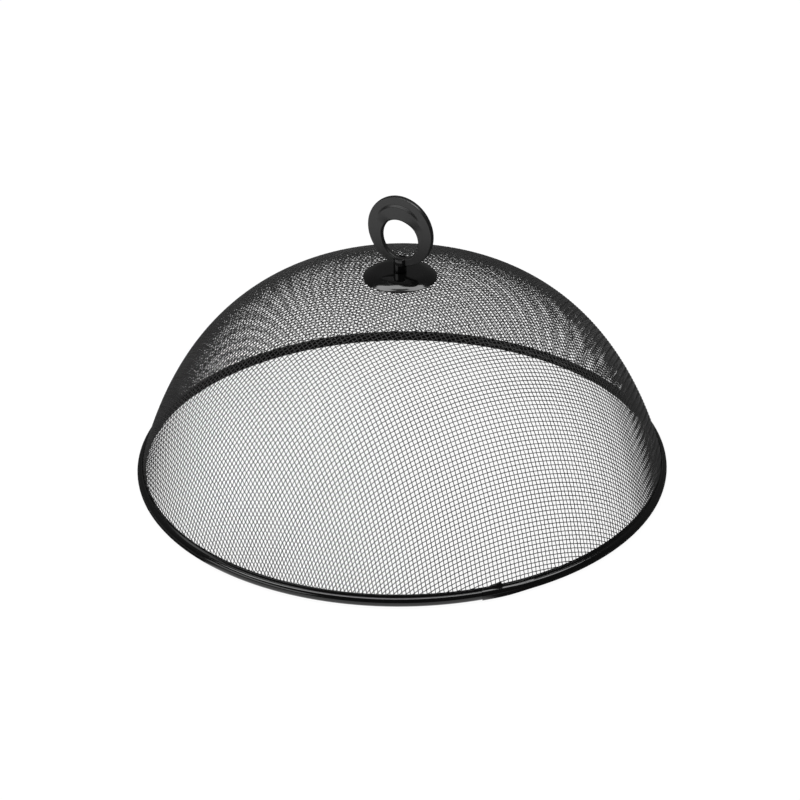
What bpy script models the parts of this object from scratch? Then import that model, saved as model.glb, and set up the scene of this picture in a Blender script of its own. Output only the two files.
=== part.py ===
"""Food cover: a dome of wire net in a rolled rim, lifted by a ring handle.

The cover stands on its rim at z = 0, with its crown over the origin. The ring
handle's face looks along Y. Lengths are in metres.
"""
import math

import bmesh
import bpy
from mathutils import Matrix, Vector

# Whole cover
RIM_RADIUS = 0.175
CROWN_HEIGHT = 0.1357
WALL_SLOPE = math.radians(73)
FIT_GAP = 0.0003

# Wire net
NET_WIRE = 0.0012
NET_CELLS_ACROSS = 25
NET_TURN = math.radians(57)
CROWN_REACH_share = 0.477
WALL_REACH_share = 0.742
NET_SNAP_share = 0.3
NET_RUN_ON_share = 0.45

# Rolled rim strip, folded over the net's edge and a hoop wire
BEAD_RADIUS = 0.0029
STRIP_THICKNESS = 0.0005
RIM_DEPTH = 0.0073
LIP_CLEARANCE = 0.0005
NET_EDGE_CLEARANCE = 0.0005
LAP_LENGTH = 0.013
LAP_STEP = 0.0006
LAP_TURN = math.radians(-40.6)

# Disc over the crown
DISC_RADIUS = 0.02365
DISC_RISE = 0.0046
DISC_SHEET = 0.0009
DISC_SEAT_MARGIN = 0.0012
DISC_FALL_shares = ((0, 1), (0.35, 0.99), (0.55, 0.96), (0.67, 0.87), (0.8, 0.6), (0.91, 0.31), (1, 0))

# Ring handle
RING_RADIUS = 0.0235
RING_THICKNESS = 0.0038
RING_EDGE_ROUND = 0.001
RING_FOOT_WALL = 0.0048
RING_TOP_WALL = 0.0154
CREST_BORDER = 0.0058
CREST_WALL = 0.0024
CREST_RISE = 0.0012
CREST_MARGIN = 0.0005
CREST_SINK = 0.0003

# Post that holds the ring in its slot, a little behind its middle
RING_SEAT_DEPTH = 0.0052
RING_SETBACK = 0.0012
POST_BACK_CHEEK = 0.0009
POST_FLOOR = 0.0034
POST_EDGE_BREAK = 0.0005
SPIGOT_WALL = 0.0008

# Screw and washer inside the dome
SCREW_RADIUS = 0.002
SCREW_ROOF = 0.0012
SCREW_HEAD_RADIUS = 0.0039
SCREW_HEAD_HEIGHT = 0.0024
SCREW_HEAD_shares = ((1.0, 0.0), (1.0, 0.45), (0.8, 0.85), (0.4, 1.0))
WASHER_RADIUS = 0.0155
WASHER_THICKNESS = 0.0012
WASHER_EDGE_BREAK = 0.0003

# How finely round pieces are cut
RIM_STEPS = 60
LAP_STEPS = 2
CORE_SIDES = 6
BEAD_FACET = math.radians(30)
DISC_STEPS = 40
POST_STEPS = 24
RING_POINTS = 40
OUTLINE_POINTS = 240

CUT_OVERRUN = 0.002
MERGE = 0.00001
CROSSING_ROUNDS = 12

# Sizes that follow
STRIP_MID = BEAD_RADIUS - STRIP_THICKNESS / 2
CORE_RADIUS = BEAD_RADIUS - STRIP_THICKNESS - FIT_GAP
BEAD_HEIGHT = STRIP_MID * math.cos(BEAD_FACET / 2) + STRIP_THICKNESS / 2
BEAD_PLACE = RIM_RADIUS - BEAD_HEIGHT
LIP_MID = NET_WIRE / 2 + LIP_CLEARANCE + STRIP_THICKNESS / 2
NET_TUCK = CORE_RADIUS + NET_EDGE_CLEARANCE
FINGER_HOLE_RADIUS = RING_RADIUS - (RING_FOOT_WALL + RING_TOP_WALL) / 2
FINGER_HOLE_DROP = (RING_TOP_WALL - RING_FOOT_WALL) / 2
POST_RADIUS = RING_SETBACK + RING_THICKNESS / 2 + FIT_GAP + POST_BACK_CHEEK
SPIGOT_RADIUS = SCREW_RADIUS + FIT_GAP + SPIGOT_WALL


def clear_scene():
    """Empty the file of objects and make the two collections."""
    for item in list(bpy.data.objects):
        bpy.data.objects.remove(item, do_unlink=True)
    for name in ("food_cover", "cutters"):
        group = bpy.data.collections.new(name)
        bpy.context.scene.collection.children.link(group)


def finish(name, colour, roughness, metallic):
    """A plain material in the colour of one finish."""
    material = bpy.data.materials.new(name)
    material.use_nodes = True
    shader = material.node_tree.nodes["Principled BSDF"]
    shader.inputs["Base Color"].default_value = (*colour, 1)
    shader.inputs["Roughness"].default_value = roughness
    shader.inputs["Metallic"].default_value = metallic
    return material


def place(name, data, material, group="food_cover"):
    """Put a mesh or curve in the scene as one named piece."""
    piece = bpy.data.objects.new(name, data)
    bpy.data.collections[group].objects.link(piece)
    if material:
        data.materials.append(material)
    if group == "cutters":
        piece.hide_render = True
        piece.display_type = "WIRE"
    return piece


def line_mesh(name, points, closed=False):
    """A mesh of one line of (radius, height) points in the XZ plane."""
    mesh = bpy.data.meshes.new(name)
    bm = bmesh.new()
    verts = [bm.verts.new((radius, 0, height)) for radius, height in points]
    for first, second in zip(verts, verts[1:]):
        bm.edges.new((first, second))
    if closed:
        bm.edges.new((verts[-1], verts[0]))
    bm.to_mesh(mesh)
    bm.free()
    return mesh


def turn(piece, steps, angle=math.tau):
    """Turn a piece's line about Z with a Screw modifier."""
    screw = piece.modifiers.new("turned", "SCREW")
    screw.angle = angle
    screw.steps = steps
    screw.render_steps = steps
    screw.use_merge_vertices = True
    screw.merge_threshold = MERGE
    screw.use_smooth_shade = True
    return screw


def thicken(piece, thickness, offset):
    """Give a turned sheet its thickness."""
    solid = piece.modifiers.new("sheet", "SOLIDIFY")
    solid.thickness = thickness
    solid.offset = offset
    solid.use_even_offset = True
    return solid


def cutting_block(name):
    """A cube of one unit among the cutters, to be sized by its caller."""
    bpy.ops.mesh.primitive_cube_add(size=1)
    block = bpy.context.object
    block.name = name
    bpy.context.collection.objects.unlink(block)
    bpy.data.collections["cutters"].objects.link(block)
    block.hide_render = True
    block.display_type = "WIRE"
    return block


def combine(piece, other, operation):
    """Cut a piece with another, join the two or keep what they share."""
    boolean = piece.modifiers.new(other.name, "BOOLEAN")
    boolean.operation = operation
    boolean.object = other


def rim_point(across, along):
    """(radius, height) of a point in the rim's section, from the hoop wire's centre.

    across runs out through the strip and along runs up the wall's slope.
    """
    radius = BEAD_PLACE + across * math.sin(WALL_SLOPE) - along * math.cos(WALL_SLOPE)
    height = BEAD_HEIGHT + across * math.cos(WALL_SLOPE) + along * math.sin(WALL_SLOPE)
    return radius, height


def dome_outline():
    """(radius, height, arc length) of the net's middle, crown first.

    One cubic curve runs level off the crown and down into the rim, and then
    straight on past the net's edge, where the net is cut.
    """
    edge = Vector(rim_point(0, NET_TUCK))
    wall_reach = WALL_REACH_share * CROWN_HEIGHT
    above = edge + wall_reach * Vector((-math.cos(WALL_SLOPE), math.sin(WALL_SLOPE)))
    beside = Vector((CROWN_REACH_share * RIM_RADIUS, CROWN_HEIGHT))
    crown = Vector((0, CROWN_HEIGHT))
    points = []
    for index in range(OUTLINE_POINTS + 1):
        t = index / OUTLINE_POINTS
        u = 1 - t
        points.append(u**3 * crown + 3 * u * u * t * beside + 3 * u * t * t * above + t**3 * edge)
    lengths = [0.0]
    for first, second in zip(points, points[1:]):
        lengths.append(lengths[-1] + (second - first).length)
    edge_length = lengths[-1]
    run_on = NET_RUN_ON_share * edge_length
    points.append(edge + run_on * Vector((math.cos(WALL_SLOPE), -math.sin(WALL_SLOPE))))
    lengths.append(edge_length + run_on)
    outline = [(point.x, point.y, length) for point, length in zip(points, lengths)]
    return outline, edge_length


OUTLINE, EDGE_LENGTH = dome_outline()


def on_outline(length):
    """Point and slope of the net's outline at an arc length from the crown."""
    low, high = 0, len(OUTLINE) - 1
    while high - low > 1:
        middle = (low + high) // 2
        if OUTLINE[middle][2] <= length:
            low = middle
        else:
            high = middle
    start = Vector(OUTLINE[low][:2])
    step = Vector(OUTLINE[high][:2]) - start
    direction = step.normalized()
    return start + (length - OUTLINE[low][2]) * direction, direction


def on_dome(length, angle):
    """The place on the dome at an arc length and an angle about Z."""
    point, _ = on_outline(length)
    return Vector((point.x * math.cos(angle), point.x * math.sin(angle), point.y))


def length_at_height(height):
    """Arc length from the crown where the outline passes a height."""
    for first, second in zip(OUTLINE, OUTLINE[1:]):
        if second[1] < height <= first[1]:
            share = (first[1] - height) / (first[1] - second[1])
            return first[2] + share * (second[2] - first[2])
    return 0.0


def height_at_radius(radius):
    """Height of the net's middle at a radius."""
    for first, second in zip(OUTLINE, OUTLINE[1:]):
        if first[0] <= radius < second[0]:
            share = (radius - first[0]) / (second[0] - first[0])
            return first[1] + share * (second[1] - first[1])
    return OUTLINE[-1][1]


def next_crossing(left, right, guess, step):
    """Arc length and angle where a crossing lies one step from two others."""
    length, angle = guess
    for _ in range(CROSSING_ROUNDS):
        point, slope = on_outline(length)
        cosine, sine = math.cos(angle), math.sin(angle)
        here = Vector((point.x * cosine, point.x * sine, point.y))
        down = Vector((slope.x * cosine, slope.x * sine, slope.y))
        around = Vector((-point.x * sine, point.x * cosine, 0))
        from_left, from_right = here - left, here - right
        miss_left = from_left.length_squared - step**2
        miss_right = from_right.length_squared - step**2
        a, b = 2 * from_left.dot(down), 2 * from_left.dot(around)
        c, d = 2 * from_right.dot(down), 2 * from_right.dot(around)
        det = a * d - b * c
        if det == 0:
            return None
        length -= (miss_left * d - miss_right * b) / det
        angle -= (a * miss_right - c * miss_left) / det
        if not 0 < length < OUTLINE[-1][2]:
            return None
    return length, angle


def woven_net():
    """(arc length, angle) of each crossing of the net, by its two wire numbers.

    Woven wire doesn't stretch: its square cells shear into diamonds as the
    flat cloth is drawn into a dome. So every crossing lies one step from its
    neighbours, outwards from two straight wires that cross at the crown. A
    quarter is worked out in half cells and mirrored to the other three, and
    the crown lies in the middle of a cell.
    """
    step = EDGE_LENGTH / NET_CELLS_ACROSS
    reach = int(OUTLINE[-1][2] / step)
    quarter = {}
    for index in range(reach + 1):
        quarter[index, 0] = (index * step, 0.0)
        quarter[0, index] = (index * step, math.pi / 2)
    for column in range(1, reach + 1):
        for row in range(1, reach + 1):
            left = quarter.get((column - 1, row))
            right = quarter.get((column, row - 1))
            back = quarter.get((column - 1, row - 1))
            if not (left and right and back):
                continue
            near = on_dome(*left) + on_dome(*right) - on_dome(*back)
            guess = (left[0] + right[0] - back[0], math.atan2(near.y, near.x))
            crossing = next_crossing(on_dome(*left), on_dome(*right), guess, step)
            if crossing:
                quarter[column, row] = crossing
    net = {}
    for (column, row), (length, angle) in quarter.items():
        if column % 2 and row % 2:
            net[column, row] = (length, angle)
            net[-column, row] = (length, math.pi - angle)
            net[-column, -row] = (length, math.pi + angle)
            net[column, -row] = (length, -angle)
    return net


def net_sheet():
    """The net's cells as flat faces, cut off level at its edge."""
    snap = NET_SNAP_share * 2 * EDGE_LENGTH / NET_CELLS_ACROSS
    net = woven_net()
    bm = bmesh.new()
    verts = {}
    lengths = {}
    for key, (length, angle) in net.items():
        if abs(length - EDGE_LENGTH) < snap:
            length = EDGE_LENGTH
        verts[key] = bm.verts.new(on_dome(length, angle + NET_TURN))
        lengths[key] = length
    for column, row in net:
        corners = [(column, row), (column + 2, row), (column + 2, row + 2), (column, row + 2)]
        if not all(corner in net for corner in corners):
            continue
        if min(lengths[corner] for corner in corners) < EDGE_LENGTH:
            bm.faces.new([verts[corner] for corner in corners])
    edge = on_dome(EDGE_LENGTH, 0)
    everything = bm.verts[:] + bm.edges[:] + bm.faces[:]
    bmesh.ops.bisect_plane(
        bm, geom=everything, dist=MERGE, plane_co=(0, 0, edge.z), plane_no=(0, 0, 1), clear_inner=True
    )
    loose = [vert for vert in bm.verts if not vert.link_faces]
    bmesh.ops.delete(bm, geom=loose, context="VERTS")
    brim = [item for item in bm.edges if item.is_boundary]
    bmesh.ops.subdivide_edges(bm, edges=brim, cuts=1)
    for vert in bm.verts:
        if vert.is_boundary:
            out = Vector((vert.co.x, vert.co.y, 0)).normalized() * edge.x
            vert.co = Vector((out.x, out.y, edge.z))
    return bm


def net_normal(place_on_net):
    """The dome's outward direction at a point near it."""
    _, slope = on_outline(length_at_height(place_on_net.z))
    angle = math.atan2(place_on_net.y, place_on_net.x)
    return Vector((-slope.y * math.cos(angle), -slope.y * math.sin(angle), slope.x))


def make_mesh_dome(material):
    """The wire net, with every wire a four-sided bar and every cell open."""
    bm = net_sheet()
    crossings = set(bm.verts)
    cells = bm.faces[:]
    bmesh.ops.inset_individual(bm, faces=cells, thickness=NET_WIRE / 2, use_even_offset=True)
    bmesh.ops.delete(bm, geom=cells, context="FACES_ONLY")
    upper = [vert for vert in bm.verts if vert in crossings]
    copied = bmesh.ops.duplicate(bm, geom=bm.verts[:] + bm.edges[:] + bm.faces[:])
    twins = copied["vert_map"]
    lower = [twins[vert] for vert in upper]
    inner = [item for item in copied["geom"] if isinstance(item, bmesh.types.BMFace)]
    bmesh.ops.reverse_faces(bm, faces=inner)
    for vert in upper:
        vert.co += net_normal(vert.co) * NET_WIRE / 2
    for vert in lower:
        vert.co -= net_normal(vert.co) * NET_WIRE / 2
    bmesh.ops.remove_doubles(bm, verts=bm.verts[:], dist=MERGE)
    bmesh.ops.bridge_loops(bm, edges=[item for item in bm.edges if item.is_boundary])
    bmesh.ops.recalc_face_normals(bm, faces=bm.faces[:])
    mesh = bpy.data.meshes.new("mesh_dome")
    bm.to_mesh(mesh)
    bm.free()
    return place("mesh_dome", mesh, material)


def rim_line(spread, low_angle=None):
    """The rim strip's middle line in section, outer lip first.

    spread moves the line outwards from the strip's middle. The lips meet the
    bead in a neck. With low_angle the line stops on the bead at that angle,
    and otherwise it runs round under the bead and up to the inner lip.
    """
    bead = STRIP_MID + spread
    lip = LIP_MID + spread
    tip = RIM_DEPTH - BEAD_RADIUS - STRIP_THICKNESS / 2
    neck = math.sqrt(bead**2 - lip**2)
    up_wall = math.pi - WALL_SLOPE
    half_mouth = math.asin(lip / bead)
    end_angle = up_wall + half_mouth - math.tau if low_angle is None else low_angle
    line = [rim_point(lip, tip), rim_point(lip, neck)]
    angle = -math.pi / 2 + BEAD_FACET * (math.pi // BEAD_FACET + 0.5)
    while angle > end_angle + BEAD_FACET / 3:
        if angle < up_wall - half_mouth - BEAD_FACET / 3:
            line.append((BEAD_PLACE + bead * math.cos(angle), BEAD_HEIGHT + bead * math.sin(angle)))
        angle -= BEAD_FACET
    if low_angle is None:
        line += [rim_point(-lip, neck), rim_point(-lip, tip)]
    return line


def make_rim_band(material):
    """The rolled strip, with its outer end lapped over its inner end."""
    band = place("rim_band", line_mesh("rim_band", rim_line(0)), material)
    turn(band, RIM_STEPS)
    thicken(band, STRIP_THICKNESS, 0)
    lap_angle = LAP_LENGTH / RIM_RADIUS
    lap_thickness = STRIP_THICKNESS / 2 + LAP_STEP
    outer_line = rim_line(lap_thickness / 2, low_angle=-math.pi / 2 + BEAD_FACET)
    lap = place("rim_lap", line_mesh("rim_lap", outer_line), None, "cutters")
    lap.rotation_euler.z = LAP_TURN - lap_angle / 2
    turn(lap, LAP_STEPS, lap_angle)
    thicken(lap, lap_thickness, 0)
    combine(band, lap, "UNION")
    return band


def make_rim_core_wire(material):
    """The hoop of wire that the rim strip is rolled round."""
    bpy.ops.mesh.primitive_torus_add(
        major_radius=BEAD_PLACE,
        minor_radius=CORE_RADIUS,
        major_segments=RIM_STEPS,
        minor_segments=CORE_SIDES,
        location=(0, 0, BEAD_HEIGHT),
    )
    hoop = bpy.context.object
    hoop.name = "rim_core_wire"
    bpy.context.collection.objects.unlink(hoop)
    bpy.data.collections["food_cover"].objects.link(hoop)
    hoop.data.materials.append(material)
    hoop.data.shade_smooth()
    return hoop


def stack_heights():
    """Heights of what is clamped to the crown, from the disc to the ring."""
    disc_edge = height_at_radius(DISC_RADIUS) + NET_WIRE / 2 + FIT_GAP
    disc_top = disc_edge + DISC_RISE
    post_base = disc_top + FIT_GAP
    slot_floor = post_base + POST_FLOOR
    ring_bottom = slot_floor + FIT_GAP
    washer_top = height_at_radius(WASHER_RADIUS) - NET_WIRE / 2 - FIT_GAP
    return {
        "disc_edge": disc_edge,
        "disc_top": disc_top,
        "post_base": post_base,
        "slot_floor": slot_floor,
        "post_top": ring_bottom + RING_SEAT_DEPTH,
        "ring_middle": ring_bottom + RING_RADIUS,
        "washer_top": washer_top,
        "washer_base": washer_top - WASHER_THICKNESS,
        "spigot_base": washer_top + FIT_GAP,
        "screw_top": slot_floor - SCREW_ROOF - FIT_GAP,
    }


def make_base_disc(heights, material):
    """The shallow pressed disc that spreads the handle's pull over the net."""
    seat = POST_RADIUS + DISC_SEAT_MARGIN
    line = [(SPIGOT_RADIUS + FIT_GAP, heights["disc_top"])]
    for across_share, rise_share in DISC_FALL_shares:
        radius = seat + across_share * (DISC_RADIUS - seat)
        rise = DISC_SHEET + rise_share * (DISC_RISE - DISC_SHEET)
        line.append((radius, heights["disc_edge"] + rise))
    disc = place("base_disc", line_mesh("base_disc", line), material)
    turn(disc, DISC_STEPS)
    thicken(disc, DISC_SHEET, -1)
    return disc


def make_handle_post(heights, material):
    """The turned post, slotted from above for the ring and drilled from below."""
    top, base, bottom = heights["post_top"], heights["post_base"], heights["spigot_base"]
    hole = SCREW_RADIUS + FIT_GAP
    line = [
        (0, top),
        (POST_RADIUS - POST_EDGE_BREAK, top),
        (POST_RADIUS, top - POST_EDGE_BREAK),
        (POST_RADIUS, base),
        (SPIGOT_RADIUS, base),
        (SPIGOT_RADIUS, bottom),
        (hole, bottom),
        (hole, heights["screw_top"] + FIT_GAP),
        (0, heights["screw_top"] + FIT_GAP),
    ]
    post = place("handle_post", line_mesh("handle_post", line), material)
    turn(post, POST_STEPS)
    depth = top - heights["slot_floor"] + CUT_OVERRUN
    width = RING_THICKNESS + 2 * FIT_GAP
    size = Matrix.Diagonal((2 * (POST_RADIUS + CUT_OVERRUN), width, depth, 1))
    middle = Matrix.Translation((0, RING_SETBACK, heights["slot_floor"] + depth / 2))
    slot = cutting_block("ring_slot")
    slot.data.transform(middle @ size)
    combine(post, slot, "DIFFERENCE")
    return post


def circle_spline(curve, radius, middle, sense):
    """Add a closed round line to a flat curve, turning one way or the other."""
    spline = curve.splines.new("POLY")
    spline.points.add(RING_POINTS - 1)
    spline.use_cyclic_u = True
    for index, point in enumerate(spline.points):
        angle = sense * math.tau * index / RING_POINTS
        point.co = (radius * math.cos(angle), middle + radius * math.sin(angle), 0, 1)


def make_ring_crest():
    """What raises a crescent on each face of the ring, lying flat about the ring's centre.

    Its sloping wall is concentric with the ring. Its faces lean, so that the
    crescent rises from the ring's faces above the finger hole.
    """
    half = RING_THICKNESS / 2
    start = FINGER_HOLE_RADIUS - FINGER_HOLE_DROP + RING_EDGE_ROUND + CREST_MARGIN
    inner = RING_RADIUS - CREST_BORDER - CREST_WALL / 2
    outer = inner + (CREST_RISE + CREST_SINK) * CREST_WALL / CREST_RISE
    line = [
        (0, half + CREST_RISE),
        (inner, half + CREST_RISE),
        (outer, half - CREST_SINK),
        (outer, CREST_SINK - half),
        (inner, -half - CREST_RISE),
        (0, -half - CREST_RISE),
    ]
    crest = place("ring_crest", line_mesh("ring_crest", line), None, "cutters")
    turn(crest, RING_POINTS)
    wedge = cutting_block("crest_wedge")
    for vert in wedge.data.vertices:
        up = RING_RADIUS if vert.co.y > 0 else start - CREST_SINK
        lean = CREST_RISE * (up - start) / (inner - start)
        vert.co = (math.copysign(RING_RADIUS, vert.co.x), up, math.copysign(half + lean, vert.co.z))
    combine(crest, wedge, "INTERSECT")
    return crest


def make_ring_handle(heights, material):
    """The flat ring, thickest above its finger hole, with rounded edges and raised crescents."""
    curve = bpy.data.curves.new("ring_handle", "CURVE")
    curve.dimensions = "2D"
    curve.fill_mode = "BOTH"
    curve.extrude = RING_THICKNESS / 2 - RING_EDGE_ROUND
    curve.bevel_depth = RING_EDGE_ROUND
    curve.bevel_resolution = 1
    curve.offset = -RING_EDGE_ROUND
    circle_spline(curve, RING_RADIUS, 0, 1)
    circle_spline(curve, FINGER_HOLE_RADIUS, -FINGER_HOLE_DROP, -1)
    flat_ring = bpy.data.objects.new("flat_ring", curve)
    bpy.data.collections["cutters"].objects.link(flat_ring)
    shape = flat_ring.evaluated_get(bpy.context.evaluated_depsgraph_get())
    mesh = bpy.data.meshes.new_from_object(shape)
    bpy.data.objects.remove(flat_ring)
    bm = bmesh.new()
    bm.from_mesh(mesh)
    bmesh.ops.remove_doubles(bm, verts=bm.verts[:], dist=MERGE)
    bm.to_mesh(mesh)
    bm.free()
    ring = place("ring_handle", mesh, material)
    crest = make_ring_crest()
    for piece in (ring, crest, bpy.data.objects["crest_wedge"]):
        piece.location = (0, RING_SETBACK, heights["ring_middle"])
        piece.rotation_euler = (math.pi / 2, 0, 0)
    combine(ring, crest, "UNION")
    return ring


def make_backing_washer(heights, material):
    """The wide washer that backs the net under the disc."""
    top, base = heights["washer_top"], heights["washer_base"]
    hole = SCREW_RADIUS + FIT_GAP
    line = [
        (hole, top),
        (WASHER_RADIUS - WASHER_EDGE_BREAK, top),
        (WASHER_RADIUS, top - WASHER_EDGE_BREAK),
        (WASHER_RADIUS, base + WASHER_EDGE_BREAK),
        (WASHER_RADIUS - WASHER_EDGE_BREAK, base),
        (hole, base),
    ]
    washer = place("backing_washer", line_mesh("backing_washer", line, closed=True), material)
    turn(washer, DISC_STEPS)
    return washer


def make_handle_screw(heights, material):
    """The screw that draws the post, disc, net and washer together."""
    seat = heights["washer_base"] - FIT_GAP
    line = [(0, heights["screw_top"]), (SCREW_RADIUS, heights["screw_top"]), (SCREW_RADIUS, seat)]
    for across_share, drop_share in SCREW_HEAD_shares:
        line.append((SCREW_HEAD_RADIUS * across_share, seat - SCREW_HEAD_HEIGHT * drop_share))
    line.append((0, seat - SCREW_HEAD_HEIGHT))
    screw = place("handle_screw", line_mesh("handle_screw", line), material)
    turn(screw, POST_STEPS)
    return screw


def main():
    """Build the cover, from the rim up to the ring."""
    clear_scene()
    net_black = finish("black_wire", (0.035, 0.035, 0.036), 0.4, 0.0)
    gloss_black = finish("gloss_black_lacquer", (0.012, 0.012, 0.012), 0.14, 0.0)
    satin_black = finish("satin_black_coat", (0.045, 0.045, 0.046), 0.38, 0.0)
    steel = finish("plated_steel", (0.62, 0.62, 0.6), 0.3, 1.0)
    heights = stack_heights()
    make_mesh_dome(net_black)
    make_rim_band(gloss_black)
    make_rim_core_wire(steel)
    make_base_disc(heights, gloss_black)
    make_handle_post(heights, gloss_black)
    make_ring_handle(heights, satin_black)
    make_backing_washer(heights, steel)
    make_handle_screw(heights, steel)


main()
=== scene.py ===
"""Looks of the food cover: a dome of woven wire in a rolled rim, with a ring handle.

Lengths are in metres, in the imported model's frame: the cover stands on z = 0 with its
crown over the origin, and the ring handle's face looks along Y.
"""
import math

import bmesh
import bpy
import numpy as np
from mathutils import Matrix, Vector


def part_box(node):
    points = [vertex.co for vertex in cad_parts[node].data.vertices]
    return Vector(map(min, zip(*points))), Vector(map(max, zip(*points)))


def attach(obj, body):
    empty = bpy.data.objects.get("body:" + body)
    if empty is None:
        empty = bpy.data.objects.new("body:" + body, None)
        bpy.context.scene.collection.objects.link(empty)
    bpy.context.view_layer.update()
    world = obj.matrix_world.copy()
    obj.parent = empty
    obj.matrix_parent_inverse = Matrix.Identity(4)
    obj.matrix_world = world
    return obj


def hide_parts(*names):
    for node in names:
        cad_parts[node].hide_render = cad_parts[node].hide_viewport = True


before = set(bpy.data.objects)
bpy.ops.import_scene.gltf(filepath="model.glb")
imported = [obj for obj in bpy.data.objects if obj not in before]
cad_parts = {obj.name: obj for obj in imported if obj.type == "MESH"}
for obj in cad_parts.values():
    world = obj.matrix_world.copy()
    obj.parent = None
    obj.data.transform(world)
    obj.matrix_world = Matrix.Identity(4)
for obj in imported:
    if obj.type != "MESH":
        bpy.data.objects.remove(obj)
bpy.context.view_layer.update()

# Whole cover, from the frame
RIM_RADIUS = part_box("rim_band")[1].x
CAD_NET_BAR = 0.0012
CROWN_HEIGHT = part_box("mesh_dome")[1].z - CAD_NET_BAR / 2
WALL_SLOPE = math.radians(73)
FIT_GAP = 0.0003

# Rounding, shading in degrees, and the distance at which points merge
CORNER_FACETS = 4
EDGE_BREAK_FACETS = 3
EDGE_BREAK_ANGLE = 40
SMOOTH_ANGLE = 35
WIRE_SMOOTH_ANGLE = 70
RING_SMOOTH_ANGLE = 60
MERGE_DISTANCE = 0.000001

# Woven net
WIRE_RADIUS = 0.00027
WIRE_PITCH = 0.00277
WIRE_SIDES_RESOLUTION = 1
CROSSING_PLAY = 0.00001
NET_TURN = math.radians(57)
NET_HOLE = 0.0042
CROWN_REACH_share = 0.477
WALL_REACH_share = 0.742
NET_RUN_ON_share = 0.45
OUTLINE_POINTS = 2400
RUN_ON_POINTS = 100
CROSSING_ROUNDS = 12

# Rolled rim strip
BEAD_RADIUS = 0.0029
STRIP_THICKNESS = 0.0005
RIM_DEPTH = 0.0073
LIP_GRIP = 0.00005
LIP_ROUND = 0.00022
NECK_ROUND = 0.00035
NECK_TURN = 9
BEAD_FACETS = 34
NET_TUCK = 0.0026
RIM_STEPS = 180

# Lapped joint of the strip, with its low edge in degrees from straight out
LAP_TURN = math.radians(-40.6)
LAP_LENGTH = 0.013
LAP_FADE = 0.022
LAP_STEP = 0.00055
LAP_LOW_TURN = -52
LAP_STEPS = 56
LAP_SINK_share = 1.1
TAB_END_share = 1.02
TAB_RISE = 0.0018

# Disc on the crown
DISC_SHEET = 0.0009
DISC_SEAT = 0.0055
DISC_HOLE = 0.0034
DISC_STEPS = 128
DISC_POINTS = 40
DISC_EDGE_ROUND = 0.0004
DISC_FALL_shares = (  # (way out, height)
    (0, 1), (0.34, 0.995), (0.48, 0.975), (0.6, 0.93), (0.7, 0.81), (0.85, 0.495), (1, 0)
)
DISC_BLEND_share = 0.04
DISC_BLEND_STEPS = 5

# Ring handle, with the raised crescent round the upper part of its finger hole
RING_THICKNESS = 0.0038
RING_EDGE_ROUND = 0.00045
RING_CROWN_RADIUS = 0.0055
HOLE_EDGE_ROUND = 0.001
FINGER_HOLE_RADIUS = 0.0134
FINGER_HOLE_DROP = 0.0053
RING_STEPS = 200
RING_CORNER_POINTS = 9
RING_FACE_POINTS = 90
CREST_BORDER = 0.0058
CREST_WALL = 0.0024
CREST_RISE = 0.00095
CREST_LOW_share = 0.2
CREST_HIGH_share = 0.95

# Post, washer and screw
POST_STEPS = 64
POST_EDGE_ROUND = 0.0005
POST_HOLE = 0.0023
SMALL_EDGE_ROUND = 0.0003
SPIGOT_RADIUS = 0.0031
SLOT_EDGE_BREAK = 0.00025
SCREW_RADIUS = 0.002
SCREW_HEAD_HEIGHT = 0.0024
SCREW_SIDE_shares = (0.97, 0.55)
SCREW_FACE_share = 0.72
SCREW_FACE_ROUND_share = 0.8
RECESS_WIDTH = 0.001
RECESS_LENGTH = 0.0042
RECESS_DEPTH = 0.0012

# Finishes: sizes and depths in metres, a pair of greys, and roughness from 0 to 1
LOW_DETAIL = 2
MIDDLE_DETAIL = 3
HIGH_DETAIL = 4
WIRE_SHEEN = 0.4
WIRE_GREYS = (0.05, 0.08)
WIRE_PATCH_SIZE = 0.03
WIRE_GRAIN_SIZE = 0.0004
WIRE_GRAIN_DEPTH = 0.00002
WIRE_ROUGHNESS = 0.3
WIRE_ROUGHNESS_SPREAD = 0.16
LACQUER_SHEEN = 0.5
LACQUER_GREYS = (0.002, 0.0045)
LACQUER_RIPPLE_SIZE = 0.006
LACQUER_RIPPLE_DEPTH = 0.00005
LACQUER_DUST_SIZE = 0.0011
LACQUER_ROUGHNESS = 0.1
LACQUER_ROUGHNESS_SPREAD = 0.08
LACQUER_GLOSS_ROUGHNESS = 0.05
SATIN_SHEEN = 1.0
SATIN_GREYS = (0.013, 0.018)
SATIN_MOTTLE_SIZE = 0.005
SATIN_GRAIN_SIZE = 0.0003
SATIN_GRAIN_DEPTH = 0.000008
SATIN_ROUGHNESS = 0.27
SATIN_ROUGHNESS_SPREAD = 0.06
STEEL_GREYS = (0.5, 0.66)
STEEL_CLOUD_SIZE = 0.004
STEEL_SCRATCH_SIZE = 0.0005
STEEL_SCRATCH_DEPTH = 0.00001
STEEL_ROUGHNESS = 0.24
STEEL_ROUGHNESS_SPREAD = 0.2

# Camera
CAMERA_TURN = math.radians(31.4)
CAMERA_TILT = math.radians(29.15)
CAMERA_ROLL = math.radians(0.6)
CAMERA_DISTANCE = 1.6
CAMERA_RIGHT = -0.0009
CAMERA_UP = 0.0402
SENSOR_WIDTH = 36
LENS_share = 2407 / 800

# Softboxes: (name, azimuth, elevation, distance, width, height, radiance)
SOFTBOXES = (
    ("overhead_softbox", CAMERA_TURN + math.pi, math.radians(80), 1.5, 2.3, 0.52, 2.9),
    ("front_softbox", math.radians(-30), math.radians(25), 2.0, 1.6, 0.7, 1.2),
)
COVER_MIDDLE = 0.08

# World: its light on dull surfaces, and what glossy ones see in front and behind
EVEN_LIGHT = 0.4
DIM_FRONT = 0.03
DIM_BACK = 0.055
DIM_FADE_share = 0.6

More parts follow.
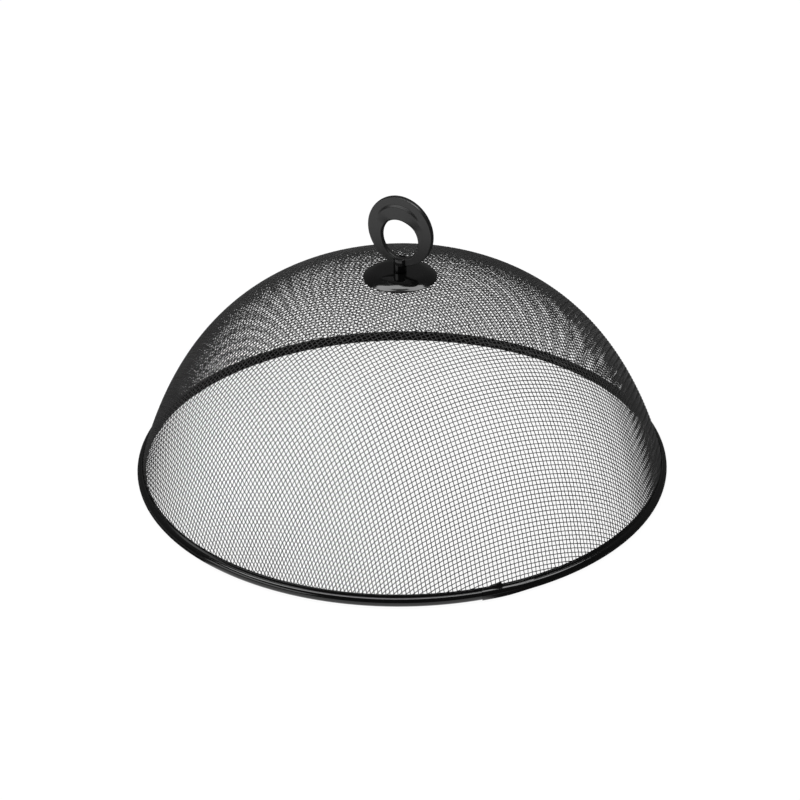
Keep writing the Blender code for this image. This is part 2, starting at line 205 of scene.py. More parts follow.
# Floor: in reflections it glows bright in front, a painted pool of light that no lamp casts, from
# (azimuth, edge, blur) near and far
NEAR_FRONT = (math.radians(18), 0.857, 0.02)
FAR_FRONT = (math.radians(2), 0.5, 0.04)
NEAR_FLOOR = 0.2
FAR_FLOOR = 0.24
FLOOR_SIZE = 8
FLOOR_SHADE_share = 0.1
FLOOR_GLOW = 0.95
FLOOR_PALE_share = 0.8
DIM_FLOOR = 0.035
BRIGHT_FLOOR = 0.6

BEAD_PLACE = RIM_RADIUS - BEAD_RADIUS
LIP_INSIDE = 2 * WIRE_RADIUS + LIP_GRIP
LIP_OUTSIDE = LIP_INSIDE + STRIP_THICKNESS
LIP_TIP = RIM_DEPTH - BEAD_RADIUS
UP_WALL = 180 - math.degrees(WALL_SLOPE)


class Value:
    """A number on a shader socket, usable in plain arithmetic."""

    def __init__(self, tree, socket):
        self.tree = tree
        self.socket = socket

    def sum_node(self, operation, *terms):
        return self.tree.node("ShaderNodeMath", {"operation": operation}, dict(enumerate(terms)))

    def __add__(self, other):
        return self.sum_node("ADD", self, other)

    def __radd__(self, other):
        return self.sum_node("ADD", other, self)

    def __sub__(self, other):
        return self.sum_node("SUBTRACT", self, other)

    def __rsub__(self, other):
        return self.sum_node("SUBTRACT", other, self)

    def __mul__(self, other):
        return self.sum_node("MULTIPLY", self, other)

    def __rmul__(self, other):
        return self.sum_node("MULTIPLY", other, self)


class Tree:
    """A node tree of a material or the world, with one way to add nodes."""

    def __init__(self, tree):
        self.tree = tree

    def node(self, kind, settings=None, inputs=None, output=0):
        """Add a node, set it up, feed its sockets and return one output."""
        node = self.tree.nodes.new(kind)
        for name, value in (settings or {}).items():
            setattr(node, name, value)
        for name, value in (inputs or {}).items():
            self.feed(node.inputs[name], value)
        return Value(self, node.outputs[output])

    def feed(self, slot, value):
        if isinstance(value, Value):
            self.tree.links.new(value.socket, slot)
        else:
            slot.default_value = value

    def blend(self, share, first, second):
        """A grey between two, by a share."""
        inputs = {0: share, 6: grey(first), 7: grey(second)}
        return self.node("ShaderNodeMix", {"data_type": "RGBA"}, inputs, 2)

    def bump(self, height, distance):
        return self.node("ShaderNodeBump", inputs={"Height": height, "Distance": distance})

    def step(self, value, low, high):
        """0 below low and 1 above high, with a smooth rise between."""
        settings = {"interpolation_type": "SMOOTHSTEP"}
        inputs = {"Value": value, "From Min": low, "From Max": high}
        return self.node("ShaderNodeMapRange", settings, inputs)

    def facing(self, vector, azimuth):
        """How far a vector points to an azimuth, which is taken from -Y towards +X."""
        inputs = {0: vector, 1: (math.sin(azimuth), -math.cos(azimuth), 0)}
        return self.node("ShaderNodeVectorMath", {"operation": "DOT_PRODUCT"}, inputs, "Value")

    def ray(self, kind):
        """1 for one kind of ray and 0 for the others."""
        return self.node("ShaderNodeLightPath", output=f"Is {kind} Ray")


class Finish(Tree):
    """A material whose Principled shader takes constants, and links where it varies."""

    def __init__(self, name, **constants):
        self.material = bpy.data.materials.new(name)
        self.material.use_nodes = True
        super().__init__(self.material.node_tree)
        self.shader = self.tree.nodes["Principled BSDF"]
        for socket, value in constants.items():
            self.shader.inputs[socket.replace("_", " ")].default_value = value
        self.place = self.node("ShaderNodeTexCoord", output="Object")

    def noise(self, size, detail):
        """Noise from 0 to 1 on the piece, whose lumps are about one size across."""
        inputs = {"Vector": self.place, "Scale": 1 / size, "Detail": detail}
        return self.node("ShaderNodeTexNoise", inputs=inputs)

    def vary(self, socket, value):
        self.feed(self.shader.inputs[socket], value)


def grey(level):
    """A neutral colour."""
    return (level, level, level, 1.0)


def coated_wire():
    """Thin black coat on drawn wire: satin, with a faint grain and duller patches."""
    finish = Finish("coated_wire", Specular_IOR_Level=WIRE_SHEEN)
    patches = finish.noise(WIRE_PATCH_SIZE, MIDDLE_DETAIL)
    grain = finish.noise(WIRE_GRAIN_SIZE, LOW_DETAIL)
    finish.vary("Base Color", finish.blend(patches, *WIRE_GREYS))
    finish.vary("Roughness", WIRE_ROUGHNESS + WIRE_ROUGHNESS_SPREAD * grain)
    finish.vary("Normal", finish.bump(grain, WIRE_GRAIN_DEPTH))
    return finish.material


def gloss_lacquer():
    """Deep black lacquer under a clear gloss, with a faint ripple and fine dust."""
    constants = {"Specular_IOR_Level": LACQUER_SHEEN, "Coat_Roughness": LACQUER_GLOSS_ROUGHNESS}
    finish = Finish("gloss_lacquer", Coat_Weight=1.0, **constants)
    ripple = finish.noise(LACQUER_RIPPLE_SIZE, LOW_DETAIL)
    dust = finish.noise(LACQUER_DUST_SIZE, MIDDLE_DETAIL)
    finish.vary("Base Color", finish.blend(dust, *LACQUER_GREYS))
    finish.vary("Roughness", LACQUER_ROUGHNESS + LACQUER_ROUGHNESS_SPREAD * ripple)
    finish.vary("Normal", finish.bump(ripple, LACQUER_RIPPLE_DEPTH))
    return finish.material


def satin_coat():
    """Dark grey-black satin coat of the ring, with an even fine grain."""
    finish = Finish("satin_coat", Specular_IOR_Level=SATIN_SHEEN)
    mottle = finish.noise(SATIN_MOTTLE_SIZE, MIDDLE_DETAIL)
    grain = finish.noise(SATIN_GRAIN_SIZE, LOW_DETAIL)
    finish.vary("Base Color", finish.blend(mottle, *SATIN_GREYS))
    finish.vary("Roughness", SATIN_ROUGHNESS + SATIN_ROUGHNESS_SPREAD * mottle)
    finish.vary("Normal", finish.bump(grain, SATIN_GRAIN_DEPTH))
    return finish.material


def plated_steel():
    """Bright zinc plate on the washer, screw and hoop, faintly clouded."""
    finish = Finish("plated_steel", Metallic=1.0)
    cloud = finish.noise(STEEL_CLOUD_SIZE, HIGH_DETAIL)
    scratch = finish.noise(STEEL_SCRATCH_SIZE, LOW_DETAIL)
    finish.vary("Base Color", finish.blend(cloud, *STEEL_GREYS))
    finish.vary("Roughness", STEEL_ROUGHNESS + STEEL_ROUGHNESS_SPREAD * cloud)
    finish.vary("Normal", finish.bump(scratch, STEEL_SCRATCH_DEPTH))
    return finish.material


def settle(piece, finish, node):
    """Give a finished piece its material and its body, and hide the CAD part it stands in for."""
    piece.data.materials.clear()
    piece.data.materials.append(finish)
    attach(piece, "root")
    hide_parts(node)
    return piece


def select_only(piece):
    bpy.ops.object.select_all(action="DESELECT")
    piece.select_set(True)
    bpy.context.view_layer.objects.active = piece


def smooth(piece, angle=SMOOTH_ANGLE):
    """Shade smooth with sharp edges past an angle in degrees."""
    select_only(piece)
    bpy.ops.object.shade_smooth_by_angle(angle=math.radians(angle))


def apply_modifiers(piece):
    select_only(piece)
    for modifier in list(piece.modifiers):
        bpy.ops.object.modifier_apply(modifier=modifier.name)


def rounded(corners):
    """A closed outline whose corners (across, up, round) are replaced by arcs of that round."""
    outline = []
    for index, (across, up, radius) in enumerate(corners):
        here = Vector((across, up))
        if radius == 0:
            outline.append(here)
            continue
        before = Vector(corners[index - 1][:2]) - here
        after = Vector(corners[(index + 1) % len(corners)][:2]) - here
        before.normalize()
        after.normalize()
        half = before.angle(after) / 2
        middle = here + (before + after).normalized() * radius / math.sin(half)
        reach = radius / math.tan(half)
        start = here + before * reach - middle
        end = here + after * reach - middle
        sweep = start.angle_signed(end)
        for step in range(CORNER_FACETS + 1):
            spoke = start.copy()
            spoke.rotate(Matrix.Rotation(-sweep * step / CORNER_FACETS, 2))
            outline.append(middle + spoke)
    return [(point.x, point.y) for point in outline]


def turned(name, section, steps, angle=math.tau, start=0.0):
    """Spin a closed (radius, height) section about Z, as a closed smooth-shaded piece."""
    bpy.ops.object.select_all(action="DESELECT")
    fill = "NOTHING" if angle == math.tau else "NGON"
    bpy.ops.mesh.primitive_circle_add(vertices=len(section), radius=RIM_RADIUS, fill_type=fill)
    piece = bpy.context.object
    piece.name = name
    for vert, (radius, height) in zip(piece.data.vertices, section):
        vert.co = (radius * math.cos(start), radius * math.sin(start), height)
    bpy.ops.object.mode_set(mode="EDIT")
    bpy.ops.mesh.select_all(action="SELECT")
    bpy.ops.mesh.spin(steps=steps, angle=angle, center=(0, 0, 0), axis=(0, 0, -1))
    bpy.ops.mesh.select_all(action="SELECT")
    bpy.ops.mesh.remove_doubles(threshold=MERGE_DISTANCE)
    bpy.ops.mesh.delete_loose()
    bpy.ops.mesh.select_all(action="SELECT")
    bpy.ops.mesh.normals_make_consistent(inside=False)
    bpy.ops.object.mode_set(mode="OBJECT")
    smooth(piece)
    return piece


def soft_step(share):
    """0 below 0, 1 above 1, and a smooth rise between."""
    share = np.clip(share, 0, 1)
    return share * share * (3 - 2 * share)


def dome_outline():
    """Radius, height and arc length of the net's middle, crown first, and its edge's length."""
    down_wall = np.array((math.cos(WALL_SLOPE), -math.sin(WALL_SLOPE)))
    edge = np.array((BEAD_PLACE, BEAD_RADIUS)) - NET_TUCK * down_wall
    crown = np.array((0.0, CROWN_HEIGHT))
    beside = np.array((CROWN_REACH_share * RIM_RADIUS, CROWN_HEIGHT))
    above = edge - WALL_REACH_share * CROWN_HEIGHT * down_wall
    t = np.linspace(0, 1, OUTLINE_POINTS)[:, None]
    u = 1 - t
    points = u**3 * crown + 3 * u * u * t * beside + 3 * u * t * t * above + t**3 * edge
    steps = np.linalg.norm(np.diff(points, axis=0), axis=1)
    lengths = np.concatenate(([0.0], np.cumsum(steps)))
    edge_length = lengths[-1]
    run_on = NET_RUN_ON_share * edge_length * np.linspace(0, 1, RUN_ON_POINTS)[1:]
    points = np.concatenate((points, edge + run_on[:, None] * down_wall))
    lengths = np.concatenate((lengths, edge_length + run_on))
    return points[:, 0], points[:, 1], lengths, edge_length


RADII, HEIGHTS, LENGTHS, EDGE_LENGTH = dome_outline()
RADIUS_SLOPES = np.gradient(RADII, LENGTHS)
HEIGHT_SLOPES = np.gradient(HEIGHTS, LENGTHS)


def around_z(radius, angle, height):
    """Points at a radius, angle and height."""
    return np.stack((radius * np.cos(angle), radius * np.sin(angle), height), axis=-1)


def on_dome(length, angle):
    radius = np.interp(length, LENGTHS, RADII)
    height = np.interp(length, LENGTHS, HEIGHTS)
    return around_z(radius, angle, height)


def net_quarter(reach):
    """Arc length and angle of a quarter of the net's crossings, by wire numbers.

    Woven wire doesn't stretch: its square cells shear into diamonds as the flat cloth is
    drawn into a dome. So each crossing lies one pitch from its two neighbours, outwards
    from two straight wires that cross at the crown.
    """
    length = np.full((reach + 1, reach + 1), np.nan)
    angle = np.full((reach + 1, reach + 1), np.nan)
    length[:, 0] = length[0, :] = np.arange(reach + 1) * WIRE_PITCH
    angle[:, 0] = 0
    angle[0, :] = math.pi / 2
    for total in range(2, 2 * reach + 1):
        column = np.arange(max(1, total - reach), min(total - 1, reach) + 1)
        row = total - column
        left = on_dome(length[column - 1, row], angle[column - 1, row])
        right = on_dome(length[column, row - 1], angle[column, row - 1])
        back = on_dome(length[column - 1, row - 1], angle[column - 1, row - 1])
        near = left + right - back
        reached = length[column - 1, row] + length[column, row - 1] - length[column - 1, row - 1]
        turn = np.arctan2(near[:, 1], near[:, 0])
        for _ in range(CROSSING_ROUNDS):
            here = on_dome(reached, turn)
            radius = np.interp(reached, LENGTHS, RADII)
            out = np.interp(reached, LENGTHS, RADIUS_SLOPES)
            rise = np.interp(reached, LENGTHS, HEIGHT_SLOPES)
            down = around_z(out, turn, rise)
            along = around_z(radius, turn + math.pi / 2, 0 * rise)
            from_left, from_right = here - left, here - right
            miss_left = (from_left**2).sum(1) - WIRE_PITCH**2
            miss_right = (from_right**2).sum(1) - WIRE_PITCH**2
            a, b = 2 * (from_left * down).sum(1), 2 * (from_left * along).sum(1)
            c, d = 2 * (from_right * down).sum(1), 2 * (from_right * along).sum(1)
            det = a * d - b * c
            det[det == 0] = np.nan
            reached = reached - (miss_left * d - miss_right * b) / det
            turn = turn - (a * miss_right - c * miss_left) / det
        lost = ~((reached > 0) & (reached < LENGTHS[-1]))
        reached[lost] = np.nan
        length[column, row] = reached
        angle[column, row] = turn
    return length, angle


def whole_net():
    """Arc length and point of every crossing in all four quarters, and how far it sways out."""
    reach = int(LENGTHS[-1] / WIRE_PITCH)
    length, angle = net_quarter(reach)
    numbers = np.arange(-reach, reach + 1)
    column, row = np.meshgrid(numbers, numbers, indexing="ij")
    length = length[abs(column), abs(row)]
    angle = angle[abs(column), abs(row)]
    angle = np.where(column < 0, math.pi - angle, angle)
    angle = np.where(row < 0, -angle, angle) + NET_TURN
    points = on_dome(length, angle)
    out = np.interp(length, LENGTHS, RADIUS_SLOPES)
    rise = np.interp(length, LENGTHS, HEIGHT_SLOPES)
    outward = around_z(-rise, angle, out)
    over = np.where((column + row) % 2 == 0, 1.0, -1.0)[..., None]
    return length, points, outward * over * (WIRE_RADIUS + CROSSING_PLAY), numbers


def wire_runs(length, points):
    """The stretches of one wire that lie on the dome, cut at the rim and at the crown's hole."""
    inside = (length < EDGE_LENGTH) & (length > NET_HOLE)
    runs = []
    marks = np.flatnonzero(np.diff(np.concatenate(([0], inside.astype(int), [0]))))
    for start, end in zip(marks[::2], marks[1::2]):
        run = points[start:end]
        if start > 0 and length[start - 1] >= EDGE_LENGTH:
            share = (EDGE_LENGTH - length[start]) / (length[start - 1] - length[start])
            run = np.vstack((points[start] + share * (points[start - 1] - points[start]), run))
        if end < len(length) and length[end] >= EDGE_LENGTH:
            share = (EDGE_LENGTH - length[end - 1]) / (length[end] - length[end - 1])
            run = np.vstack((run, points[end - 1] + share * (points[end] - points[end - 1])))
        if len(run) > 1:
            runs.append(run)
    return runs


def wires(name, runs, finish):
    """One piece of the net: round wires along their runs."""
    curve = bpy.data.curves.new(name, "CURVE")
    curve.dimensions = "3D"
    curve.bevel_depth = WIRE_RADIUS
    curve.bevel_resolution = WIRE_SIDES_RESOLUTION
    curve.use_fill_caps = True
    for run in runs:
        spline = curve.splines.new("POLY")
        spline.points.add(len(run) - 1)
        spline.points.foreach_set("co", np.column_stack((run, np.ones(len(run)))).ravel())
    guide = bpy.data.objects.new(name + "_guide", curve)
    bpy.context.scene.collection.objects.link(guide)
    shape = guide.evaluated_get(bpy.context.evaluated_depsgraph_get())
    mesh = bpy.data.meshes.new_from_object(shape)
    bpy.data.objects.remove(guide)
    piece = bpy.data.objects.new(name, mesh)
    bpy.context.scene.collection.objects.link(piece)
    welded = bmesh.new()
    welded.from_mesh(mesh)
    bmesh.ops.remove_doubles(welded, verts=welded.verts, dist=MERGE_DISTANCE)
    welded.to_mesh(mesh)
    welded.free()
    smooth(piece, WIRE_SMOOTH_ANGLE)
    return settle(piece, finish, "mesh_dome")


def make_net(finish):
    """The woven net, in four pieces: two ways of wire, each in two halves."""
    length, points, sway, numbers = whole_net()
    ways = (("warp", length, points + sway), ("weft", length.T, (points - sway).transpose(1, 0, 2)))
    for way, lengths, places in ways:
        for half, chosen in (("near", numbers < 0), ("far", numbers >= 0)):
            runs = []
            for wire in np.flatnonzero(chosen):
                runs += wire_runs(lengths[:, wire], places[:, wire])
            wires(f"net_{way}_{half}", runs, finish)


def rim_point(across, along):
    """(radius, height) in the rim's section, from the bead's middle: out, and up the wall."""
    radius = BEAD_PLACE + across * math.sin(WALL_SLOPE) - along * math.cos(WALL_SLOPE)
    height = BEAD_RADIUS + across * math.cos(WALL_SLOPE) + along * math.sin(WALL_SLOPE)
    return radius, height


def bead_arc(radius, start, end):
    """Corners on the bead from one angle to another, in degrees from straight out."""
    arc = []
    for step in range(BEAD_FACETS + 1):
        angle = math.radians(start + (end - start) * step / BEAD_FACETS)
        across, up = radius * math.cos(angle), radius * math.sin(angle)
        arc.append((BEAD_PLACE + across, BEAD_RADIUS + up, 0))
    return arc


def strip_side(radius, lip, low_turn=None):
    """One side of the strip in section: down the outer lip, round the bead and up the inner lip.

    With low_turn it stops on the bead there, in degrees from straight out.
    """
    neck = math.sqrt(radius**2 - lip**2)
    mouth = math.degrees(math.asin(lip / radius)) + NECK_TURN
    side = [(*rim_point(lip, LIP_TIP), LIP_ROUND), (*rim_point(lip, neck), NECK_ROUND)]
    if low_turn is not None:
        return side + bead_arc(radius, UP_WALL - mouth, low_turn)
    side += bead_arc(radius, UP_WALL - mouth, UP_WALL + mouth - 360)
    side.append((*rim_point(-lip, neck), NECK_ROUND))
    side.append((*rim_point(-lip, LIP_TIP), LIP_ROUND))
    return side


def make_rim(finish):
    """The rolled strip: outer lip, bead and inner lip, round the whole cover."""
    outside = strip_side(BEAD_RADIUS, LIP_OUTSIDE)
    inside = strip_side(BEAD_RADIUS - STRIP_THICKNESS, LIP_INSIDE)
    piece = turned("rim_strip", rounded(outside + inside[::-1]), RIM_STEPS)
    return settle(piece, finish, "rim_band")


def make_lap(finish):
    """The strip's outer end, lapped over its inner end.

    It stands out by a step where it is cut, sinks back into the strip past the lap, and
    the inner end's corner shows above its lip as a small pointed tab.
    """
    outside = strip_side(BEAD_RADIUS + LAP_STEP, LIP_OUTSIDE + LAP_STEP, LAP_LOW_TURN)
    backing = strip_side(BEAD_RADIUS - STRIP_THICKNESS / 2, LIP_INSIDE, LAP_LOW_TURN)
    section = rounded(outside + [(x, z, 0) for x, z, _ in backing[::-1]])
    length = LAP_LENGTH + LAP_FADE
    start = LAP_TURN - LAP_LENGTH / 2 / RIM_RADIUS
    piece = turned("rim_lap", section, LAP_STEPS, length / RIM_RADIUS, start)
    neck = math.sqrt(BEAD_RADIUS**2 - LIP_OUTSIDE**2)
    for vert in piece.data.vertices:
        angle = math.atan2(vert.co.y, vert.co.x)
        along_rim = (angle - start) * RIM_RADIUS
        out = math.hypot(vert.co.x, vert.co.y) - BEAD_PLACE
        up = vert.co.z - BEAD_RADIUS
        across = out * math.sin(WALL_SLOPE) + up * math.cos(WALL_SLOPE)
        along = up * math.sin(WALL_SLOPE) - out * math.cos(WALL_SLOPE)
        sunk = LAP_STEP * LAP_SINK_share * soft_step((along_rim - LAP_LENGTH) / LAP_FADE)
        if along > neck:
            tab = along_rim / LAP_LENGTH if along_rim < LAP_LENGTH * TAB_END_share else 0
            lift = (along - neck) / (LIP_TIP - neck)
            along += TAB_RISE * lift * tab**2 - sunk * lift
            across -= sunk
        else:
            size = math.hypot(across, along)
            across *= 1 - sunk / size
            along *= 1 - sunk / size
        radius, height = rim_point(across, along)
        vert.co = (radius * math.cos(angle), radius * math.sin(angle), height)
    return settle(piece, finish, "rim_band")


def make_disc(finish):
    """The pressed disc, flat round the post, with a fall all round and hollow below."""
    low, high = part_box("base_disc")
    span = high.x - DISC_SEAT
    rise = high.z - low.z - DISC_SHEET
    shares = np.array(DISC_FALL_shares)
    even = np.linspace(0, 1, DISC_POINTS)
    spread = np.linspace(-DISC_BLEND_share, DISC_BLEND_share, DISC_BLEND_STEPS)[:, None]
    fall = np.interp(np.clip(even + spread, 0, 1), shares[:, 0], shares[:, 1]).mean(axis=0)
    fall[0], fall[-1] = 1, 0
    top = [(DISC_HOLE, high.z, 0)]
    for across, up in zip(even, fall):
        top.append((DISC_SEAT + across * span, low.z + DISC_SHEET + up * rise, 0))
    edge = [(high.x, low.z, DISC_EDGE_ROUND)]
    under = [(x - (DISC_SHEET if z < high.z else 0), z - DISC_SHEET, 0) for x, z, _ in top[-3::-1]]
    piece = turned("crown_disc", rounded(top + edge + under), DISC_STEPS)
    return settle(piece, finish, "base_disc")


def make_post(finish):
    """The turned post, with a slot across its top for the ring and a spigot below."""
    low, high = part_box("handle_post")
    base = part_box("base_disc")[1].z + FIT_GAP
    hole_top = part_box("handle_screw")[1].z + FIT_GAP
    section = rounded([
        (0, high.z, 0),
        (high.x, high.z, POST_EDGE_ROUND),
        (high.x, base, SMALL_EDGE_ROUND),
        (SPIGOT_RADIUS, base, 0),
        (SPIGOT_RADIUS, low.z, 0),
        (POST_HOLE, low.z, 0),
        (POST_HOLE, hole_top, 0),
        (0, hole_top, 0),
    ])
    piece = turned("post", section, POST_STEPS)
    ring_low, ring_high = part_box("ring_handle")
    width = RING_THICKNESS + 2 * FIT_GAP
    floor = ring_low.z - FIT_GAP
    depth = high.z - floor
    middle = Vector((0, (ring_low.y + ring_high.y) / 2, high.z))
    cut_box(piece, (4 * high.x, width, 2 * depth), middle)
    break_edges(piece, SLOT_EDGE_BREAK)
    return settle(piece, finish, "handle_post")


def cut_box(piece, size, middle, turn=0):
    """Cut a box out of a piece."""
    bpy.ops.object.select_all(action="DESELECT")
    bpy.ops.mesh.primitive_cube_add(size=1, location=middle, rotation=(0, 0, turn), scale=size)
    cutter = bpy.context.object
    cut = piece.modifiers.new("cut", "BOOLEAN")
    cut.operation = "DIFFERENCE"
    cut.object = cutter
    apply_modifiers(piece)
    bpy.data.objects.remove(cutter)


def break_edges(piece, width):
    """Round the sharp edges of a piece a little."""
    bevel = piece.modifiers.new("broken edges", "BEVEL")
    bevel.width = width
    bevel.segments = EDGE_BREAK_FACETS
    bevel.limit_method = "ANGLE"
    bevel.angle_limit = math.radians(EDGE_BREAK_ANGLE)
    apply_modifiers(piece)
    smooth(piece)


def crest_height(radius, angle):
    """How far a point of the ring's face stands up, by its radius and angle."""
    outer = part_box("ring_handle")[1].x - CREST_BORDER + CREST_WALL / 2
    along = soft_step((math.sin(angle) - CREST_LOW_share) / (CREST_HIGH_share - CREST_LOW_share))
    return CREST_RISE * along * soft_step((outer - radius) / CREST_WALL)


def ring_section(angle, radius, half):
    """Radii and sides of points round the ring's section at one angle.

    They run from the middle of its outer wall over one face to the finger hole, and back
    over the other face.
    """
    reach = FINGER_HOLE_RADIUS**2 - (FINGER_HOLE_DROP * math.cos(angle)) ** 2
    inner = math.sqrt(reach) - FINGER_HOLE_DROP * math.sin(angle)
    corner = np.linspace(0, math.pi / 2, RING_CORNER_POINTS)[::-1]
    crown = math.asin((half - RING_EDGE_ROUND) / (RING_CROWN_RADIUS - RING_EDGE_ROUND))
    wall = crown * np.linspace(0, 1, RING_CORNER_POINTS)
    edge = crown + (math.pi / 2 - crown) * np.linspace(0, 1, RING_CORNER_POINTS)[1:]
    hub = radius - RING_CROWN_RADIUS
    edge_hub = hub + (RING_CROWN_RADIUS - RING_EDGE_ROUND) * math.cos(crown)
    face = np.linspace(edge_hub, inner + HOLE_EDGE_ROUND, RING_FACE_POINTS)
    height = half + crest_height(face, angle)
    wall_out = hub + RING_CROWN_RADIUS * np.cos(wall)
    wall_side = RING_CROWN_RADIUS * np.sin(wall)
    edge_out = edge_hub + RING_EDGE_ROUND * np.cos(edge)
    edge_side = half - RING_EDGE_ROUND * (1 - np.sin(edge))
    hole_out = face[-1] - HOLE_EDGE_ROUND * np.cos(corner)
    hole_side = height[-1] - HOLE_EDGE_ROUND * (1 - np.sin(corner))
    out = np.concatenate((wall_out, edge_out, face[1:-1], hole_out))
    side = np.concatenate((wall_side, edge_side, height[1:-1], hole_side))
    return np.concatenate((out, out[:0:-1])), np.concatenate((side, -side[:0:-1]))


def make_ring(finish):
    """The flat ring, widest above its finger hole, with a raised crescent round the hole."""
    low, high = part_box("ring_handle")
    radius = high.x
    half = RING_THICKNESS / 2
    setback = (low.y + high.y) / 2
    middle = (low.z + high.z) / 2
    count = len(ring_section(0, radius, half)[0])
    bpy.ops.object.select_all(action="DESELECT")
    bpy.ops.mesh.primitive_torus_add(
        major_segments=RING_STEPS, minor_segments=count, major_radius=radius, minor_radius=half
    )
    piece = bpy.context.object
    piece.name = "ring"
    for step in range(RING_STEPS):
        angle = math.tau * step / RING_STEPS
        out, side = ring_section(angle, radius, half)
        for index in range(count):
            across, up = out[index] * math.cos(angle), out[index] * math.sin(angle)
            vert = piece.data.vertices[step * count + index]
            vert.co = (across, setback - side[index], middle + up)
    smooth(piece, RING_SMOOTH_ANGLE)
    return settle(piece, finish, "ring_handle")


def make_washer(finish):
    """The wide washer that backs the net."""
    low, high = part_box("backing_washer")
    places = ((POST_HOLE, high.z), (high.x, high.z), (high.x, low.z), (POST_HOLE, low.z))
    section = rounded([(*place, SMALL_EDGE_ROUND) for place in places])
    piece = turned("washer", section, DISC_STEPS)
    return settle(piece, finish, "backing_washer")


def make_screw(finish):
    """The pan-head screw with a cross recess, head down."""
    low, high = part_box("handle_screw")
    seat = low.z + SCREW_HEAD_HEIGHT
    side_out, side_down = SCREW_SIDE_shares
    face_round = SCREW_HEAD_HEIGHT * SCREW_FACE_ROUND_share
    section = rounded([
        (0, high.z, 0),
        (SCREW_RADIUS, high.z, SMALL_EDGE_ROUND),
        (SCREW_RADIUS, seat, 0),
        (high.x, seat, SMALL_EDGE_ROUND),
        (high.x * side_out, seat - SCREW_HEAD_HEIGHT * side_down, SMALL_EDGE_ROUND),
        (high.x * SCREW_FACE_share, low.z, face_round),
        (0, low.z, 0),
    ])
    piece = turned("screw", section, POST_STEPS)
    for turn in (0, math.pi / 2):
        size = (RECESS_LENGTH, RECESS_WIDTH, 2 * RECESS_DEPTH)
        cut_box(piece, size, Vector((0, 0, low.z)), turn)
    smooth(piece)
    return settle(piece, finish, "handle_screw")


def make_camera():
    """The photograph's viewpoint: azimuth from -Y towards +X, looking down on the cover."""
    flat = Vector((-math.sin(CAMERA_TURN), math.cos(CAMERA_TURN), 0))
    forward = math.cos(CAMERA_TILT) * flat - math.sin(CAMERA_TILT) * Vector((0, 0, 1))
    right = Vector((math.cos(CAMERA_TURN), math.sin(CAMERA_TURN), 0))
    up = right.cross(forward)
    camera = bpy.data.cameras.new("camera")
    camera.sensor_width = SENSOR_WIDTH
    camera.lens = LENS_share * SENSOR_WIDTH
    level_right = math.cos(CAMERA_ROLL) * right - math.sin(CAMERA_ROLL) * up
    level_up = math.sin(CAMERA_ROLL) * right + math.cos(CAMERA_ROLL) * up
    turned_so = Matrix((level_right, level_up, -forward)).transposed().to_4x4()
    place = CAMERA_RIGHT * right + CAMERA_UP * up - CAMERA_DISTANCE * forward
    view = bpy.data.objects.new("camera", camera)
    view.matrix_world = Matrix.Translation(place) @ turned_so
    bpy.context.scene.collection.objects.link(view)
    bpy.context.scene.camera = view


def make_softbox(name, azimuth, elevation, distance, width, height, radiance):
    """A rectangular lamp facing the cover, which the camera doesn't see."""
    lamp = bpy.data.lights.new(name, "AREA")
    lamp.shape = "RECTANGLE"
    lamp.size = width
    lamp.size_y = height
    lamp.energy = radiance * math.pi * width * height
    box = bpy.data.objects.new(name, lamp)
    flat = Vector((math.sin(azimuth), -math.cos(azimuth), 0))
    away = math.cos(elevation) * flat + math.sin(elevation) * Vector((0, 0, 1))
    box.location = Vector((0, 0, COVER_MIDDLE)) + distance * away
    box.rotation_euler = away.to_track_quat("Z", "Y").to_euler()
    box.visible_camera = False
    bpy.context.scene.collection.objects.link(box)


def make_world():
    """White for the camera, even light for dull surfaces, and a dim studio for glossy ones."""
    world = bpy.data.worlds.new("studio")
    world.use_nodes = True
    bpy.context.scene.world = world
    tree = Tree(world.node_tree)
    direction = tree.node("ShaderNodeTexCoord", output="Generated")
    behind = tree.step(tree.facing(direction, CAMERA_TURN + math.pi), 0, DIM_FADE_share)
    glossy = DIM_FRONT + (DIM_BACK - DIM_FRONT) * behind
    is_camera = tree.ray("Camera")
    is_glossy = tree.ray("Glossy")
    level = is_camera + (1 - is_camera) * (is_glossy * glossy + (1 - is_glossy) * EVEN_LIGHT)
    back = tree.tree.nodes["Background"]
    tree.feed(back.inputs["Strength"], level)
    back.inputs["Color"].default_value = grey(1)


def front_share(tree, flat, azimuth, edge, blur):
    """1 on the floor around an azimuth and 0 elsewhere, with a blurred edge."""
    return tree.step(tree.facing(flat, azimuth), edge - blur, edge + blur)


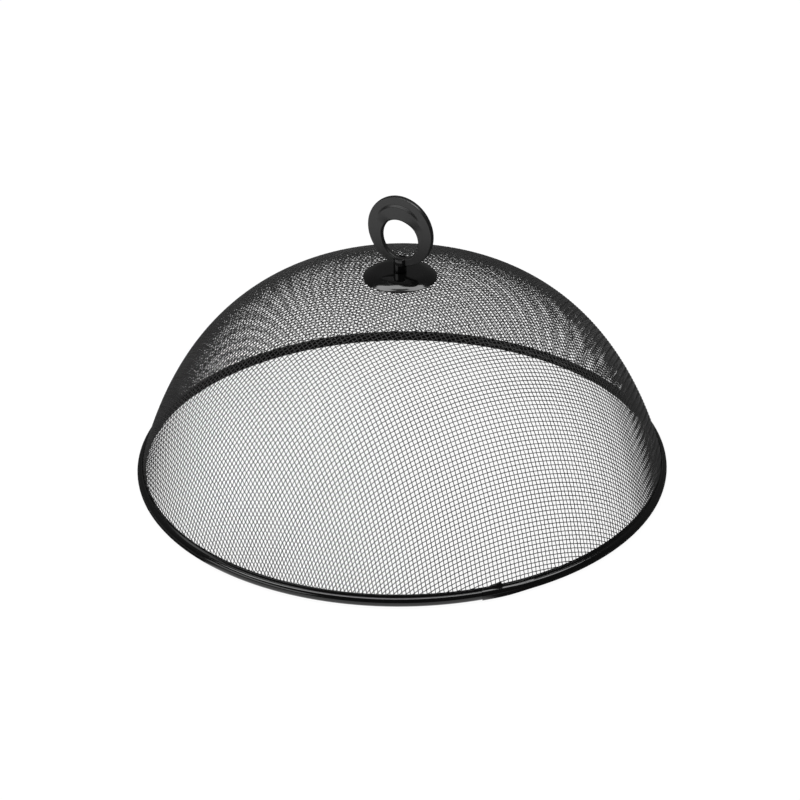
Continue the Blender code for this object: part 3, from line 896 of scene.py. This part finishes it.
def make_floor():
    """A pale floor that keeps the cover's soft shadow and shines white, with a painted pool of
    light in front that only reflections show.
    """
    bpy.ops.object.select_all(action="DESELECT")
    bpy.ops.mesh.primitive_plane_add(size=FLOOR_SIZE, location=(0, 0, 0))
    floor = bpy.context.object
    floor.name = "studio_floor"
    material = bpy.data.materials.new("studio_floor")
    material.use_nodes = True
    tree = Tree(material.node_tree)
    tree.tree.nodes.remove(tree.tree.nodes["Principled BSDF"])
    place = tree.node("ShaderNodeTexCoord", output="Object")
    flat = tree.node("ShaderNodeVectorMath", {"operation": "NORMALIZE"}, {0: place})
    away = tree.node("ShaderNodeVectorMath", {"operation": "LENGTH"}, {0: place}, "Value")
    far = tree.step(away, NEAR_FLOOR, FAR_FLOOR)
    near_front = front_share(tree, flat, *NEAR_FRONT)
    front = near_front + far * (front_share(tree, flat, *FAR_FRONT) - near_front)
    is_camera = tree.ray("Camera")
    is_glossy = tree.ray("Glossy")
    unseen = (1 - is_camera) * (1 - is_glossy)
    shade = is_camera * FLOOR_SHADE_share + unseen * FLOOR_PALE_share
    # For glossy rays the floor glows brighter in front and dim elsewhere: a painted pool of light,
    # not light from a lamp.
    glow = is_camera * FLOOR_GLOW + is_glossy * (DIM_FLOOR + (BRIGHT_FLOOR - DIM_FLOOR) * front)
    dull = tree.node("ShaderNodeBsdfDiffuse", inputs={"Color": tree.blend(shade, 0, 1)})
    shine = tree.node("ShaderNodeEmission", inputs={"Strength": glow})
    both = tree.node("ShaderNodeAddShader", inputs={0: dull, 1: shine})
    tree.feed(tree.tree.nodes["Material Output"].inputs["Surface"], both)
    floor.data.materials.append(material)


def main():
    """Build the cover from the rim up, then the studio."""
    make_camera()
    wire_coat = coated_wire()
    lacquer = gloss_lacquer()
    satin = satin_coat()
    steel = plated_steel()
    make_net(wire_coat)
    make_rim(lacquer)
    make_lap(lacquer)
    make_disc(lacquer)
    make_post(lacquer)
    make_ring(satin)
    make_washer(steel)
    make_screw(steel)
    for slot in bpy.data.objects["rim_core_wire"].material_slots:
        slot.material = steel
    make_world()
    for softbox in SOFTBOXES:
        make_softbox(*softbox)
    make_floor()
    bpy.context.scene.view_settings.view_transform = "Standard"


main()
